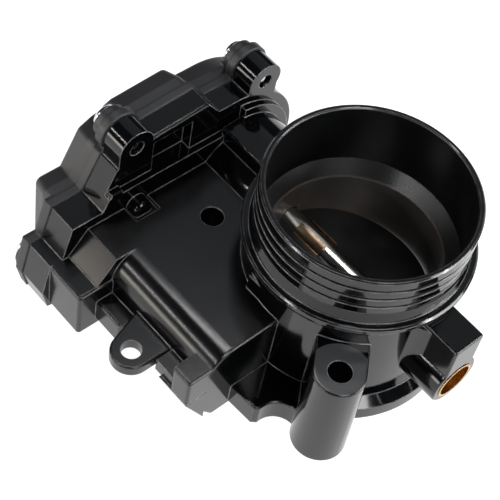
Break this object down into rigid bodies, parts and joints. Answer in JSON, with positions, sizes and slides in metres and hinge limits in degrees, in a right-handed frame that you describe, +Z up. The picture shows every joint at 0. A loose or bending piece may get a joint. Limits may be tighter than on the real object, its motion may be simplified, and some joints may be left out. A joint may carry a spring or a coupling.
{
  "type": "electronic throttle body",
  "caption": "Motor-driven throttle body: round ribbed inlet, butterfly plate on a cross shaft, geared drive under a side cover, motor bay and bolt posts.",
  "frame": {"origin": "on the bore axis, in the plane of the bottom mounting flange", "axes": "+Z up the bore towards the inlet spigot, +X along the throttle shaft towards the brass plug, +Y across the bore away from the motor"},
  "size_m": [0.1354, 0.1367, 0.0855],
  "materials": {
    "cast_black": "gloss",
    "cover_black": "satin",
    "seal_rubber": "matte",
    "zinc_steel": "gloss",
    "bearing_steel": "satin",
    "plug_brass": "satin",
    "shaft_steel": "polished",
    "plate_black": "satin",
    "clip_bronze": "satin",
    "gear_plastic": "satin",
    "ferrite": "matte",
    "spring_steel": "satin",
    "can_steel": "satin",
    "holder_plastic": "satin",
    "carbon": "matte",
    "pin_tin": "satin",
    "board_green": "satin"
  },
  "bodies": {
    "body": {"housing": "cast_black", "gear_cover": "cover_black", "cover_gasket": "seal_rubber", "cover_screws": "zinc_steel", "flange_seal": "seal_rubber", "shaft_bearing_drive": "bearing_steel", "shaft_seal": "seal_rubber", "shaft_bearing_cup": "bearing_steel", "shaft_plug": "plug_brass", "return_spring": "spring_steel", "idler_pin": "shaft_steel", "motor_can": "can_steel", "motor_magnets": "ferrite", "motor_rear_bush": "clip_bronze", "motor_end_cap": "holder_plastic", "motor_brushes": "carbon", "motor_terminals": "plug_brass", "motor_plate": "can_steel", "motor_screws": "zinc_steel", "connector_pins": "pin_tin", "position_sensor": "board_green"},
    "throttle": {"throttle_shaft": "shaft_steel", "throttle_plate": "plate_black", "plate_clips": "clip_bronze", "sector_gear": "gear_plastic", "sensor_magnet": "ferrite"},
    "idler": {"idler_gear": "gear_plastic"},
    "motor_rotor": {"motor_pinion": "plug_brass", "motor_shaft": "shaft_steel", "motor_armature": "bearing_steel"}
  },
  "joints": [
    {"name": "throttle_turn", "type": "hinge", "parent": "body", "child": "throttle", "pos_m": [0, 0, 0.0253], "axis": [-1, 0, 0], "range_deg": [-12, 78], "stiffness_Nm_per_rad": 0.12},
    {"name": "idler_spin", "type": "hinge", "parent": "body", "child": "idler", "pos_m": [-0.066, -0.02766, 0.02898], "axis": [-1, 0, 0], "range_deg": [-270, 45]},
    {"name": "motor_spin", "type": "hinge", "parent": "body", "child": "motor_rotor", "pos_m": [-0.04, -0.047, 0.017], "axis": [-1, 0, 0], "range_deg": [-170, 1075]}
  ],
  "couplings": [
    {"joint": "idler_spin", "follows": "throttle_turn", "ratio": -3.4286},
    {"joint": "motor_spin", "follows": "throttle_turn", "ratio": 13.714}
  ]
}
